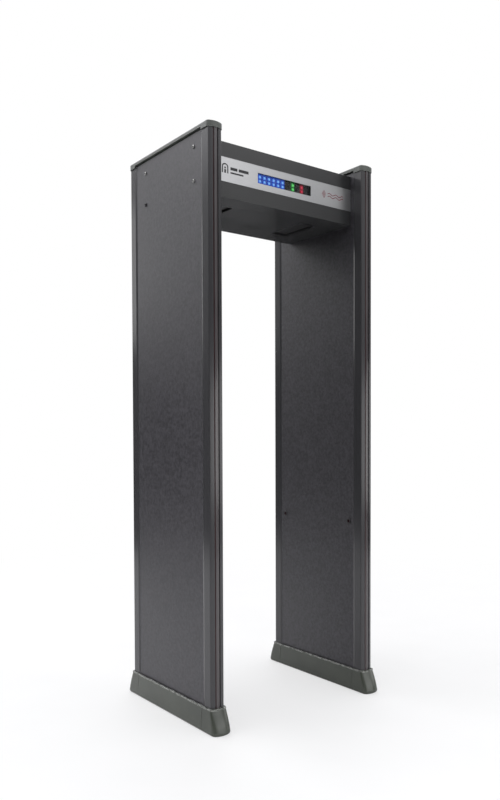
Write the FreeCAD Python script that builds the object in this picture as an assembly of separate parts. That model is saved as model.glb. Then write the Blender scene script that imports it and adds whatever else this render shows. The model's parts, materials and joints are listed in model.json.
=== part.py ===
"""Walk-through security gate: two upright coil panels joined by a header box."""
import FreeCAD, Part
import math
import os

V = FreeCAD.Vector
X_AXIS = V(1, 0, 0)
Y_AXIS = V(0, 1, 0)
Z_AXIS = V(0, 0, 1)

# Overall size. X is across the passage, the display side faces -Y, the floor is z = 0.
passage_width = 700.0
total_height = 2230.0

# Panel plan: straight sides up to corner_y, then a nose that bows out by nose_bow.
panel_half = 29.0
corner_y = 299.0
nose_bow = 7.0
corner_radius = 4.0
panel_x = passage_width / 2 + panel_half

# Feet
foot_height = 94.0
foot_lip_height = 5.5
foot_lip_round = 2.2
foot_floor = 6.0
foot_wall = 4.5
foot_rim = 10.0
foot_bottom_half = 41.0
foot_bottom_crest = 347.0
foot_bottom_bow = 16.0
foot_bottom_radius = 24.0
foot_top_half = 35.0
foot_top_crest = 315.0
foot_top_bow = 8.0
foot_top_radius = 12.0
foot_fullness = 1.4
foot_sections = 6
foot_under_round = 9.0
foot_lip_proud = 1.4
foot_crease_y = 250.0
foot_crease_width = 1.6
foot_crease_depth = 0.9
socket_gap = 0.4

# Caps
cap_half = 34.0
cap_corner_y = 299.0
cap_bow = 10.0
cap_radius = 14.0
cap_strip_height = 14.0
cap_block_height = 23.0
cap_block_inner_y = 257.0
cap_roof = 9.0
cap_edge_round = 5.0
cap_tongue_half = 19.0
cap_tongue_y = 245.0
cap_tongue_drop = 16.0

# Posts
post_inner_y = 251.0
post_web_y = 258.0
post_web = 4.0
post_wall = 3.0
post_flange = 2.4
flange_taper = 8.0
flange_tip = 0.6
flange_crease_round = 10.0
channel_half = 12.0
channel_depth = 8.0
channel_floor = 4.0
channel_round = 1.2
nose_cavity_depth = 5.0

# Zone lights
lens_base_half = 11.6
lens_base = 2.0
lens_shoulder_half = 8.6
lens_shoulder = 3.0
lens_crown_half = 6.6
lens_crown = 6.6
lens_crest = 8.2
lens_cavity_half = 5.4
lens_cavity = 5.0
led_board_half = 4.6
led_board = 1.2
led_half = 2.5
led_height = 1.6
leds_per_zone = 6
zone_count = 6

# Boards
board_thickness = 4.0
board_recess = 2.5
board_edge_y = 257.5
board_top = 2210.0

# Coil frames and coils
frame_y = 250.0
frame_member = 45.0
frame_half = 22.3
frame_bottom = 14.0
frame_top = 2190.0
bay_bottom = 55.0
bay_top = 1980.0
rail = 40.0
coil_thickness = 5.0
coil_half = 10.0
bay_coil_width = 8.0
fit_gap = 0.3

# Photocells
photocell_y = 221.0
photocell_z = 727.0
bezel_radius = 11.0
bezel_proud = 3.0
bezel_round = 1.0
photocell_radius = 8.0
photocell_depth = 24.0
photocell_lens_radius = 6.5
photocell_lens = 2.2

# Header box
header_front = -231.0
header_rear = 187.0
header_bottom = 1992.0
header_top = 2198.5
sheet = 2.0
front_seam_y = -157.0
rear_seam_y = 134.0
seam = 0.8
joggle = 12.0
joggle_sheet = 1.5
header_round = 2.0
header_rear_round = 12.0

# Fascia strip, display window and lights
fascia_bottom = 2051.0
fascia_top = 2142.5
fascia_sheet = 1.2
fascia_set_back = 1.0
front_wall = 4.0
window_left = -136.0
window_right = 132.0
window_bottom = 2075.0
window_top = 2115.0
window_sheet = 1.5
window_margin = 4.0
light_z = 2095.0
light_row = 8.0
light_height = 10.5
light_width = 11.0
light_round = 0.8
blue_start = -119.9
blue_pitch = 22.4
blue_columns = 6
status_start = 21.4
status_pitch = 23.0
light_depth = 3.2
light_set_back = 7.0
display_board = 1.6
display_margin = 12.0
display_pillar = 2.5

# Hatches in the underside
hatch_width = 83.0
hatch_front = -128.0
hatch_rear = 83.0
hatch_left_edges = (-266.0, 162.0)
hatch_depth = 10.0
hatch_wall = 1.5
hatch_flange = 6.0

# End brackets and header bolts
bracket = 3.0
bracket_flange = 20.0
bracket_front = -226.5
bracket_rear = 181.0
bracket_clear = 4.2
bolt_front_y = -197.5
bolt_rear_y = 173.5
bolt_low_z = 2037.0
bolt_high_z = 2163.0
bolt_radius = 3.9
bolt_hole = 4.2
bolt_head_radius = 7.2
bolt_head = 4.2
bolt_tail_x = 341.0
hex_socket = 3.9
hex_socket_depth = 3.0

# Cable connectors between panel and header
connector_y = -20.0
connector_z = 2120.0
connector_radius = 9.0
connector_nut = 12.0
connector_inner_x = 330.0
connector_outer_x = 372.0

# Control bay and service door
opening_left = -140.0
opening_right = 140.0
opening_bottom = 2035.0
opening_top = 2165.0
bay_left = -150.0
bay_right = 158.0
bay_low = 2029.0
bay_high = 2171.0
bay_back = 150.0
bay_sheet = 2.0
door_left = -151.4
door_right = 153.0
door_bottom = 2024.0
door_height = 152.0
door_gap = 0.6
door_sheet = 2.0
door_lip = 6.0
door_round = 6.0

# Hinge
hinge_x = -156.0
hinge_offset = 4.2
knuckle_radius = 4.0
pin_radius = 2.0
door_bore = 2.07
leaf_bore = 2.02
knuckles = 5
knuckle_gap = 0.5
leaf_width = 20.0
leaf_sheet = 1.4
pin_head = 3.4
pin_head_height = 2.0

# Lock
lock_x = 127.0
lock_z = 2100.0
lock_radius = 8.0
lock_flange = 11.0
lock_flange_height = 2.2
lock_reach = 17.0
lock_gap = 0.3
cam_sheet = 2.0
cam_reach = 20.0
cam_half = 6.0
key_slot = 8.0
key_slot_width = 1.8
key_slot_depth = 6.0

# Keys in the bay
key_radius = 8.0
key_hole_gap = 0.3
key_collar = 9.6
key_collar_height = 2.0
key_proud = 5.0
key_edge_round = 1.2
key_pitch = 34.0
key_row_x = -70.0
key_z = 2084.0
key_names = ("key_up", "key_down", "key_set", "key_reset")
control_board_y = 140.0
control_board = 1.6

# Power inlet and switch
power_x = 250.0
inlet_z = 2060.0
inlet_half_w = 14.0
inlet_half_h = 10.5
inlet_wall = 2.0
inlet_flange = 5.0
inlet_flange_sheet = 2.4
inlet_depth = 28.0
inlet_cavity = 17.0
inlet_pin = 1.2
inlet_pin_spread = 7.0
inlet_pin_height = 2.5
inlet_pin_setback = 7.0
inlet_pin_drop = 1.5
inlet_pin_lift = 2.5
inlet_corner_round = 4.0
switch_z = 2120.0
switch_half_w = 8.0
switch_half_h = 12.5
switch_wall = 2.0
switch_flange = 3.0
switch_flange_sheet = 2.0
switch_corner_round = 2.0
switch_depth = 16.0
rocker_gap = 0.35
rocker_tilt = 11.0
rocker_pivot_drop = 2.0
rocker_crown = 3.5
rocker_dip = 1.2
rocker_depth = 5.0

# Components on the control board
board_margin = 12.0
pillar_inset = 5.0
pillar_radius = 3.0
chip_lefts = (-90.0, -20.0, 60.0)
chip_width = 32.0
chip_height = 4.0
chip_bottom = 2090.0
chip_top = 2118.0
can_places = (-110.0, -70.0, 20.0, 90.0)
can_radius = 7.0
can_height = 16.0
can_z = 2060.0

# Supply unit and sounder on the underside plate
supply_left = 40.0
supply_right = 130.0
supply_half_depth = 70.0
supply_height = 42.0
supply_round = 1.5
terminal_width = 12.0
terminal_half_depth = 40.0
terminal_rise = 6.0
terminal_height = 16.0
sounder_x = -60.0
sounder_y = -60.0
sounder_flange = 22.0
sounder_flange_height = 4.0
sounder_radius = 19.0
sounder_height = 16.0
sounder_port = 4.0
sounder_port_depth = 3.0


def box(x0, x1, y0, y1, z0, z1):
    """Axis-aligned block between two corners."""
    return Part.makeBox(x1 - x0, y1 - y0, z1 - z0, V(x0, y0, z0))


def rod(radius, length, start, direction):
    return Part.makeCylinder(radius, length, start, direction)


def joined(shapes):
    """One solid from overlapping shapes."""
    first = shapes[0]
    return first.multiFuse(shapes[1:]).removeSplitter()


def save(name, shape):
    shape.exportStep(f"parts/{name}.step")


def mirrored(shape):
    """The matching shape on the other side of the passage."""
    return shape.mirror(V(0, 0, 0), X_AXIS)


def save_pair(piece, shape):
    """Shape is the left piece. The right one is its mirror image."""
    save(f"left_{piece}", shape)
    save(f"right_{piece}", mirrored(shape))


def vertical_edges(shape, test):
    """Edges that run upright all the way and whose middle passes the test."""
    found = []
    for edge in shape.Edges:
        low = edge.Vertexes[0].Point
        high = edge.Vertexes[-1].Point
        upright = abs(low.z - high.z) > abs(low.x - high.x) + abs(low.y - high.y)
        if upright and test((low + high) * 0.5):
            found.append(edge)
    return found


def edges_at_height(shape, z):
    return [e for e in shape.Edges if abs(e.BoundBox.ZMin - z) < 1e-4 and abs(e.BoundBox.ZMax - z) < 1e-4]


def plan_wire(half, end_y, bow, z):
    """Closed plan of a panel: straight sides and bowed ends."""
    a = V(-half, -end_y, z)
    b = V(half, -end_y, z)
    c = V(half, end_y, z)
    d = V(-half, end_y, z)
    front = Part.Arc(a, V(0, -end_y - bow, z), b).toShape()
    rear = Part.Arc(c, V(0, end_y + bow, z), d).toShape()
    return Part.Wire([front, Part.makeLine(b, c), rear, Part.makeLine(d, a)])


def column(half, end_y, bow, radius, z0, z1):
    """Upright solid with the panel's plan and rounded corners."""
    solid = Part.Face(plan_wire(half, end_y, bow, z0)).extrude(V(0, 0, z1 - z0))
    return solid.makeFillet(radius, vertical_edges(solid, lambda p: True))


def corner_arc(centre, radius, first, last):
    """Arc about a level centre, between two angles in radians."""
    points = [centre + V(math.cos(turn), math.sin(turn), 0) * radius
              for turn in (first, (first + last) / 2, last)]
    return Part.Arc(*points).toShape()


def rounded_plan(half, crest_y, bow, radius, z):
    """Closed plan with straight sides, bowed ends and corner arcs tangent to both."""
    bow_radius = (half ** 2 + bow ** 2) / (2 * bow)
    bow_y = crest_y - bow_radius
    corner_x = half - radius
    corner_y_here = bow_y + math.sqrt((bow_radius - radius) ** 2 - corner_x ** 2)
    turn = math.atan2(corner_y_here - bow_y, corner_x)
    full = math.pi
    right_rear = V(corner_x, corner_y_here, z)
    left_rear = V(-corner_x, corner_y_here, z)
    left_front = V(-corner_x, -corner_y_here, z)
    right_front = V(corner_x, -corner_y_here, z)
    side = V(half, -corner_y_here, z), V(half, corner_y_here, z)
    other_side = V(-half, corner_y_here, z), V(-half, -corner_y_here, z)
    return Part.Wire([
        Part.makeLine(*side),
        corner_arc(right_rear, radius, 0, turn),
        corner_arc(V(0, bow_y, z), bow_radius, turn, full - turn),
        corner_arc(left_rear, radius, full - turn, full),
        Part.makeLine(*other_side),
        corner_arc(left_front, radius, full, full + turn),
        corner_arc(V(0, -bow_y, z), bow_radius, full + turn, 2 * full - turn),
        corner_arc(right_front, radius, 2 * full - turn, 2 * full),
    ])


def panel_plan(gap):
    return panel_half + gap, corner_y + gap, nose_bow, corner_radius + gap


def boot(inset):
    """Body of the foot below its lip: wide near the floor, full at the sides."""
    body_top = foot_height - foot_lip_height
    wires = []
    for step in range(foot_sections + 1):
        rise = (step / foot_sections) ** foot_fullness
        half, crest, bow, radius = [low + (high - low) * rise for low, high in (
            (foot_bottom_half, foot_top_half), (foot_bottom_crest, foot_top_crest),
            (foot_bottom_bow, foot_top_bow), (foot_bottom_radius, foot_top_radius))]
        z = body_top * step / foot_sections
        wires.append(rounded_plan(half - inset, crest - inset, bow, radius - inset, z))
    return Part.makeLoft(wires, True, True)


def foot():
    """Flared boot with a floor, a hollow and a rim that grips the panel."""
    body_top = foot_height - foot_lip_height
    proud = foot_lip_proud
    plan = rounded_plan(foot_top_half + proud, foot_top_crest + proud, foot_top_bow,
                        foot_top_radius + proud, body_top)
    lip = Part.Face(plan).extrude(V(0, 0, foot_lip_height))
    lip = lip.makeFillet(foot_lip_round, edges_at_height(lip, foot_height))
    hollow = boot(foot_wall).common(box(-foot_bottom_half, foot_bottom_half, -foot_bottom_crest,
                                        foot_bottom_crest, foot_floor, foot_height - foot_rim))
    socket = column(*panel_plan(socket_gap), foot_height - foot_rim - foot_floor, foot_height + 1)
    body = boot(0)
    body = body.makeFillet(foot_under_round, edges_at_height(body, 0))
    shell = body.fuse(lip).cut(hollow).cut(socket)
    skin = boot(foot_crease_depth)
    for y in (-foot_crease_y, foot_crease_y):
        slab = box(-foot_bottom_half, foot_bottom_half, y - foot_crease_width / 2,
                   y + foot_crease_width / 2, foot_under_round, body_top)
        shell = shell.cut(slab.cut(skin))
    return shell.removeSplitter()


def cap():
    """Cap strip with deeper blocks over the posts and a tongue between the boards."""
    strip_bottom = total_height - cap_strip_height
    block_bottom = total_height - cap_block_height
    whole = column(cap_half, cap_corner_y, cap_bow, cap_radius, block_bottom, total_height)
    whole = whole.makeFillet(cap_edge_round, edges_at_height(whole, total_height))
    relief = box(-cap_half - 1, cap_half + 1, -cap_block_inner_y, cap_block_inner_y,
                 block_bottom - 1, strip_bottom)
    socket = column(*panel_plan(socket_gap), block_bottom - 1, total_height - cap_roof)
    keep = box(-cap_half, cap_half, -post_inner_y + socket_gap, post_inner_y - socket_gap,
               block_bottom - 1, total_height)
    tongue = box(-cap_tongue_half, cap_tongue_half, -cap_tongue_y, cap_tongue_y,
                 strip_bottom - cap_tongue_drop, strip_bottom)
    return joined([whole.cut(relief).cut(socket.cut(keep)), tongue])


def front_post():
    """Extruded post: bowed nose with a light channel, hollow core and flanges over the boards."""
    nose_y = corner_y + nose_bow
    channel_y = nose_y - channel_depth
    top = total_height - cap_roof - 1
    solid = column(panel_half, corner_y, nose_bow, corner_radius, foot_floor, top)
    solid = solid.common(box(-panel_half, panel_half, -nose_y - 1, -post_inner_y, foot_floor, top))
    hollow_front = channel_y - channel_floor
    hollow = box(post_wall - panel_half, panel_half - post_wall, -hollow_front,
                 -post_web_y - post_web, foot_floor, top)
    rebate_half = panel_half - post_flange
    rebate = box(-rebate_half, rebate_half, -post_web_y, -post_inner_y, foot_floor, top)
    channel = box(-channel_half, channel_half, -nose_y - 1, -channel_y, foot_floor, top)
    solid = solid.cut(hollow).cut(rebate).cut(channel)
    for side in (-1, 1):
        inner = side * (channel_half + post_wall)
        outer = side * (panel_half - post_wall)
        cavity = box(min(inner, outer), max(inner, outer), -hollow_front - nose_cavity_depth,
                     -hollow_front, foot_floor, top)
        solid = solid.cut(cavity)
    mouth = vertical_edges(solid, lambda p: abs(abs(p.x) - channel_half) < 0.01 and p.y < -channel_y - 1)
    solid = solid.makeFillet(channel_round, mouth)
    for side in (-1, 1):
        solid = solid.cut(flange_wedge(side, top))
    crease = vertical_edges(solid, lambda p: abs(abs(p.x) - panel_half) < 0.01
                            and abs(p.y + post_inner_y + flange_taper) < 0.01)
    return solid.makeFillet(flange_crease_round, crease)


def flange_wedge(side, top):
    """What is cut away so that a flange thins towards its edge over the board."""
    start_y = -post_inner_y - flange_taper
    tip_x = side * (panel_half - post_flange + flange_tip)
    clear_x = side * (panel_half + 1)
    points = [V(side * panel_half, start_y, foot_floor), V(tip_x, -post_inner_y, foot_floor),
              V(clear_x, -post_inner_y, foot_floor), V(clear_x, start_y, foot_floor)]
    return Part.Face(Part.makePolygon(points + points[:1])).extrude(V(0, 0, top - foot_floor))


def turned_to_rear(shape):
    """The same piece at the back of its panel."""
    return shape.mirror(V(0, 0, 0), Y_AXIS)


def at_left(shape):
    return shape.translated(V(-panel_x, 0, 0))


def front_lens():
    """Long lens with a base, sloping flanks and a domed crown. It is hollow behind the crown."""
    floor_y = -(corner_y + nose_bow - channel_depth)
    z0 = foot_floor
    points = [
        V(-lens_base_half, floor_y, z0),
        V(-lens_base_half, floor_y - lens_base, z0),
        V(-lens_shoulder_half, floor_y - lens_shoulder, z0),
        V(-lens_crown_half, floor_y - lens_crown, z0),
    ]
    mirror_points = [V(-p.x, p.y, p.z) for p in reversed(points)]
    left_side = [Part.makeLine(a, b) for a, b in zip(points, points[1:])]
    right_side = [Part.makeLine(a, b) for a, b in zip(mirror_points, mirror_points[1:])]
    dome = Part.Arc(points[-1], V(0, floor_y - lens_crest, z0), mirror_points[0]).toShape()
    base = Part.makeLine(mirror_points[-1], points[0])
    section = Part.Face(Part.Wire(left_side + [dome] + right_side + [base]))
    top = total_height - cap_roof - 1
    solid = section.extrude(V(0, 0, top - z0))
    cavity = box(-lens_cavity_half, lens_cavity_half, floor_y - lens_cavity, floor_y, z0, top)
    return solid.cut(cavity)


def front_led_strip():
    """Narrow board on the channel floor with its row of light emitters."""
    floor_y = -(corner_y + nose_bow - channel_depth)
    z0 = foot_height + 6
    z1 = total_height - cap_block_height - 6
    strip = box(-led_board_half, led_board_half, floor_y - led_board, floor_y, z0, z1)
    count = zone_count * leds_per_zone
    pitch = (z1 - z0) / count
    emitters = []
    for i in range(count):
        z = z0 + (i + 0.5) * pitch
        emitters.append(box(-led_half, led_half, floor_y - led_board - led_height,
                            floor_y - led_board, z - led_half, z + led_half))
    return joined([strip] + emitters)


def plain_board():
    """Flat board whose outer face is at the recess depth behind the flanges."""
    outer = panel_half - board_recess
    return box(-outer, board_thickness - outer, -board_edge_y, board_edge_y, foot_floor, board_top)


def bolt_places():
    return [(bolt_front_y, bolt_low_z), (bolt_front_y, bolt_high_z),
            (bolt_rear_y, bolt_low_z), (bolt_rear_y, bolt_high_z)]


def bolt_cutters(radius):
    """Four rods across the left panel, for the header bolt holes."""
    start = -panel_x - panel_half - 10
    length = passage_width / 2
    return [rod(radius, length, V(start, y, z), X_AXIS) for y, z in bolt_places()]


def cut_all(shape, cutters):
    for cutter in cutters:
        shape = shape.cut(cutter)
    return shape


def photocell_cutters(radius, length):
    """Rods into the left panel from the passage side."""
    start = -passage_width / 2 + 1
    return [rod(radius, length, V(start, y, photocell_z), -X_AXIS) for y in (-photocell_y, photocell_y)]


def outer_board():
    return cut_all(at_left(plain_board()), bolt_cutters(bolt_hole))


def inner_board():
    """Board on the passage side, with holes for bolts, photocells and the cable connector."""
    flipped = at_left(mirrored(plain_board()))
    board = cut_all(flipped, bolt_cutters(bolt_hole))
    board = cut_all(board, photocell_cutters(photocell_radius + fit_gap, 10))
    hole = rod(connector_radius + fit_gap, 10, V(-passage_width / 2 + 1, connector_y, connector_z), -X_AXIS)
    return board.cut(hole)


def bay_heights():
    """Bottom and top of each open bay of the coil frame."""
    height = (bay_top - bay_bottom - rail * (zone_count - 1)) / zone_count
    return [(bay_bottom + i * (height + rail), bay_bottom + i * (height + rail) + height)
            for i in range(zone_count)]


def coil_frame():
    """Ladder frame that holds the coils and takes the clamping load of the header bolts."""
    solid = at_left(box(-frame_half, frame_half, -frame_y, frame_y, frame_bottom, frame_top))
    bay_y = frame_y - frame_member
    for low, high in bay_heights():
        solid = solid.cut(at_left(box(-frame_half, frame_half, -bay_y, bay_y, low, high)))
    solid = cut_all(solid, bolt_cutters(bolt_hole))
    solid = cut_all(solid, photocell_cutters(photocell_radius + 1, photocell_depth + 10))
    room = rod(connector_nut, 30, V(-passage_width / 2 + 1, connector_y, connector_z), -X_AXIS)
    return solid.cut(room)


def ring(half, y, z0, z1, width):
    """Rectangular coil winding, seen from the passage."""
    outer = box(-half, half, -y, y, z0, z1)
    corners = [e for e in outer.Edges if abs(e.BoundBox.XLength - 2 * half) < 1e-3]
    inner = box(-half, half, width - y, y - width, z0 + width, z1 - width)
    return outer.makeFillet(width * 0.8, corners).cut(inner)


def transmit_coil():
    """Single winding around the left coil frame."""
    outside = coil_thickness + fit_gap
    return at_left(ring(coil_half, frame_y + outside, frame_bottom - outside, frame_top + outside,
                        coil_thickness))


def receive_coils():
    """One winding in each bay of the right coil frame."""
    y = frame_y - frame_member - fit_gap
    rings = [ring(coil_half, y, low + fit_gap, high - fit_gap, bay_coil_width)
             for low, high in bay_heights()]
    return Part.makeCompound(rings).translated(V(panel_x, 0, 0))


def photocell_housings():
    """Round bezels on the passage face, with a barrel that goes through the board."""
    face = -passage_width / 2 - board_recess
    housings = []
    for y in (-photocell_y, photocell_y):
        bezel = rod(bezel_radius, bezel_proud, V(face, y, photocell_z), X_AXIS)
        rim = [e for e in bezel.Edges if abs(e.BoundBox.XMin - face - bezel_proud) < 1e-4]
        bezel = bezel.makeFillet(bezel_round, rim)
        barrel = rod(photocell_radius, photocell_depth, V(face, y, photocell_z), -X_AXIS)
        seat = rod(photocell_lens_radius + 0.05, photocell_lens,
                   V(face + bezel_proud - photocell_lens, y, photocell_z), X_AXIS)
        housings.append(joined([bezel, barrel]).cut(seat))
    return Part.makeCompound(housings)


def photocell_lenses():
    """Low domed lenses in the bezels."""
    face = -passage_width / 2 - board_recess
    seat_x = face + bezel_proud - photocell_lens
    lenses = []
    for y in (-photocell_y, photocell_y):
        lens = rod(photocell_lens_radius, photocell_lens - 0.4, V(seat_x, y, photocell_z), X_AXIS)
        rim = [e for e in lens.Edges if abs(e.BoundBox.XMin - seat_x - photocell_lens + 0.4) < 1e-4]
        lenses.append(lens.makeFillet(0.8, rim))
    return Part.makeCompound(lenses)


def hexagon(across, depth, start, direction):
    """Hexagonal prism along X."""
    points = [V(start.x, start.y + across * math.cos(math.radians(60 * i)),
                start.z + across * math.sin(math.radians(60 * i))) for i in range(7)]
    return Part.Face(Part.makePolygon(points)).extrude(direction * depth)


def header_bolt(y, z):
    """Button-head bolt with a hex socket, from the outer board to the end bracket."""
    face = -panel_x - panel_half + board_recess
    shank = rod(bolt_radius, -bolt_tail_x - face, V(face, y, z), X_AXIS)
    head = rod(bolt_head_radius, bolt_head, V(face, y, z), -X_AXIS)
    rim = [e for e in head.Edges if abs(e.BoundBox.XMax - face + bolt_head) < 1e-4]
    head = head.makeFillet(bolt_head * 0.6, rim)
    socket = hexagon(hex_socket, hex_socket_depth, V(face - bolt_head, y, z), X_AXIS)
    return joined([head, shank]).cut(socket)


def header_bolts():
    """Bright bolts of the left side, the black one, and the four bolts of the right side."""
    bolts = {place: header_bolt(*place) for place in bolt_places()}
    black_place = (bolt_rear_y, bolt_low_z)
    save("left_black_header_bolt", bolts[black_place])
    bright = [bolt for place, bolt in bolts.items() if place != black_place]
    save("left_header_bolts", Part.makeCompound(bright))
    save("right_header_bolts", mirrored(Part.makeCompound(list(bolts.values()))))


def cable_connector():
    """Round plug and socket that join the panel's wiring to the header."""
    start = V(-connector_outer_x, connector_y, connector_z)
    barrel = rod(connector_radius, connector_outer_x - connector_inner_x, start, X_AXIS)
    nut_x = -passage_width / 2 - board_recess + bracket + 0.5
    nut = rod(connector_nut, 6, V(nut_x, connector_y, connector_z), X_AXIS)
    return joined([barrel, nut])


def header_section(y_wall, y_seam, round_radius):
    """C-shaped sheet from the wall round to the two seams, over the header's whole length."""
    end = passage_width / 2 + board_recess
    low_y = min(y_wall, y_seam)
    high_y = max(y_wall, y_seam)
    solid = box(-end, end, low_y, high_y, header_bottom, header_top)
    corners = [e for e in solid.Edges if abs(e.BoundBox.YMin - y_wall) < 1e-4
               and abs(e.BoundBox.YMax - y_wall) < 1e-4 and e.BoundBox.XLength > end]
    solid = solid.makeFillet(round_radius, corners)
    inner_low = low_y + sheet if y_wall < y_seam else low_y
    inner_high = high_y if y_wall < y_seam else high_y - sheet
    inner = box(-end, end, inner_low, inner_high, header_bottom + sheet, header_top - sheet)
    if round_radius > sheet:
        inner_wall = y_wall - sheet if y_wall > y_seam else y_wall + sheet
        inner_edges = [e for e in inner.Edges if abs(e.BoundBox.YMin - inner_wall) < 1e-4
                       and abs(e.BoundBox.YMax - inner_wall) < 1e-4 and e.BoundBox.XLength > end]
        inner = inner.makeFillet(round_radius - sheet, inner_edges)
    return solid.cut(inner)


def fascia_back_y():
    return header_front + fascia_set_back + fascia_sheet


def header_front_shell():
    """Front cover with a shallow groove for the silver strip and the display opening."""
    shell = header_section(header_front, front_seam_y, header_round)
    end = passage_width / 2 + board_recess
    back_y = header_front + front_wall
    wall = box(-end, end, header_front + sheet, back_y, header_bottom + sheet, header_top - sheet)
    groove = box(-end, end, header_front - 1, fascia_back_y(), fascia_bottom - fit_gap / 2,
                 fascia_top + fit_gap / 2)
    opening = box(window_left, window_right, header_front - 1, back_y + 1, window_bottom, window_top)
    return joined([shell, wall]).cut(groove).cut(opening)


def header_rear_shell():
    """Rear sheet with the control bay opening, the inlet hole and the switch hole."""
    shell = header_section(header_rear, rear_seam_y, header_rear_round)
    y0 = header_rear - sheet - 1
    y1 = header_rear + 1
    bay = box(opening_left, opening_right, y0, y1, opening_bottom, opening_top)
    inlet = box(power_x - inlet_half_w, power_x + inlet_half_w, y0, y1,
                inlet_z - inlet_half_h, inlet_z + inlet_half_h)
    switch = box(power_x - switch_half_w, power_x + switch_half_w, y0, y1,
                 switch_z - switch_half_h, switch_z + switch_half_h)
    return shell.cut(bay).cut(inlet).cut(switch)


def header_plate(outer_z, inward):
    """Plate between the two seams, with a joggled edge behind each shell."""
    end = passage_width / 2 + board_recess
    y0 = front_seam_y + seam
    y1 = rear_seam_y - seam
    face_z = outer_z + inward * sheet
    back_z = face_z + inward * joggle_sheet
    skin = box(-end, end, y0, y1, min(outer_z, face_z), max(outer_z, face_z))
    backing = box(-end, end, y0 - joggle, y1 + joggle, min(face_z, back_z), max(face_z, back_z))
    return joined([skin, backing])


def header_bottom_plate():
    """Underside plate with the two hatch openings."""
    plate = header_plate(header_bottom, 1)
    for x in hatch_left_edges:
        plate = plate.cut(box(x, x + hatch_width, hatch_front, hatch_rear, header_bottom - 1,
                              header_bottom + sheet + joggle_sheet + 1))
    return plate


def hatch_cover(x):
    """Shallow tray that fills a hatch opening, with a flange on top of the plate."""
    x0 = x + fit_gap
    x1 = x + hatch_width - fit_gap
    y0 = hatch_front + fit_gap
    y1 = hatch_rear - fit_gap
    flange_z = header_bottom + sheet + joggle_sheet
    top_z = header_bottom + hatch_depth + hatch_wall
    tray = box(x0, x1, y0, y1, header_bottom + 0.5, top_z)
    flange = box(x0 - hatch_flange, x1 + hatch_flange, y0 - hatch_flange, y1 + hatch_flange,
                 flange_z, flange_z + hatch_wall)
    recess = box(x0 + hatch_wall, x1 - hatch_wall, y0 + hatch_wall, y1 - hatch_wall,
                 header_bottom, header_bottom + hatch_depth)
    return joined([tray, flange]).cut(recess)


def end_bracket():
    """Folded plate at the left end of the header, with the bolt holes."""
    face = -passage_width / 2 - board_recess
    z0 = header_bottom + bracket_clear
    z1 = header_top - bracket_clear
    y1 = bracket_rear
    plate = box(face, face + bracket, bracket_front, y1, z0, z1)
    low = box(face, face + bracket_flange, bracket_front, y1, z0, z0 + bracket)
    high = box(face, face + bracket_flange, bracket_front, y1, z1 - bracket, z1)
    solid = joined([plate, low, high])
    solid = cut_all(solid, bolt_cutters(bolt_radius + 0.1))
    hole = rod(connector_radius + fit_gap, bracket + 2, V(face - 1, connector_y, connector_z), X_AXIS)
    return solid.cut(hole)


def fascia_strip():
    """Silver strip across the front, with the window's opening."""
    end = passage_width / 2 + board_recess
    front = header_front + fascia_set_back
    strip = box(-end, end, front, fascia_back_y(), fascia_bottom, fascia_top)
    hole = box(window_left, window_right, front - 1, fascia_back_y() + 1, window_bottom, window_top)
    return strip.cut(hole)


def display_window():
    """Clear pane held behind the opening in the front cover."""
    back_y = header_front + front_wall
    return box(window_left - window_margin, window_right + window_margin, back_y, back_y + window_sheet,
               window_bottom - window_margin, window_top + window_margin)


def light_front_y():
    return header_front + fascia_set_back + light_set_back


def display_light(x, z):
    """Square light that stands on the display board and ends behind the window."""
    half_w = light_width / 2
    half_h = light_height / 2
    front = light_front_y()
    light = box(x - half_w, x + half_w, front, front + light_depth, z - half_h, z + half_h)
    rim = [e for e in light.Edges
           if abs(e.BoundBox.YMin - front) < 1e-4 and abs(e.BoundBox.YMax - front) < 1e-4]
    return light.makeFillet(light_round, rim)


def light_columns(columns):
    lights = [display_light(x, light_z + row * light_row) for x in columns for row in (-1, 1)]
    return Part.makeCompound(lights)


def status_x(index):
    return status_start + index * status_pitch


def display_pieces():
    """Display board and the groups of lights on it."""
    blue = [blue_start + i * blue_pitch for i in range(blue_columns)]
    save("display_lights_blue", light_columns(blue))
    save("display_lights_green", light_columns([status_x(1)]))
    save("display_lights_red", light_columns([status_x(3)]))
    save("display_lights_unlit", light_columns([status_x(0), status_x(2), status_x(4)]))
    board_y = light_front_y() + light_depth
    board = box(window_left - display_margin, window_right + display_margin, board_y,
                board_y + display_board, window_bottom - display_margin, window_top + display_margin)
    inset = display_margin - window_margin / 2 - display_pillar
    pillar_height = board_y - header_front - front_wall
    pillars = []
    for x in (window_left - inset, window_right + inset):
        for z in (window_bottom - inset, window_top + inset):
            pillars.append(rod(display_pillar, pillar_height, V(x, board_y, z), -Y_AXIS))
    save("display_board", joined([board] + pillars))


def control_bay_tray():
    """Tray behind the service door, with holes for the four keys."""
    front = header_rear - sheet
    outer = box(bay_left, bay_right, bay_back, front, bay_low, bay_high)
    inner = box(bay_left + bay_sheet, bay_right - bay_sheet, bay_back + bay_sheet, front,
                bay_low + bay_sheet, bay_high - bay_sheet)
    tray = outer.cut(inner)
    for i in range(len(key_names)):
        hole = rod(key_radius + key_hole_gap, bay_sheet + 2, V(key_x(i), bay_back - 1, key_z), Y_AXIS)
        tray = tray.cut(hole)
    return tray


def key_x(index):
    return key_row_x + index * key_pitch


def key(index):
    """Push key with a collar behind the tray."""
    gap = 0.1
    collar_y = bay_back - gap - key_collar_height
    x = key_x(index)
    collar = rod(key_collar, key_collar_height, V(x, collar_y, key_z), Y_AXIS)
    stem = rod(key_radius, bay_back + bay_sheet + key_proud - collar_y, V(x, collar_y, key_z), Y_AXIS)
    front = bay_back + bay_sheet + key_proud
    rim = [e for e in stem.Edges if abs(e.BoundBox.YMin - front) < 1e-4]
    return joined([collar, stem.makeFillet(key_edge_round, rim)])


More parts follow.
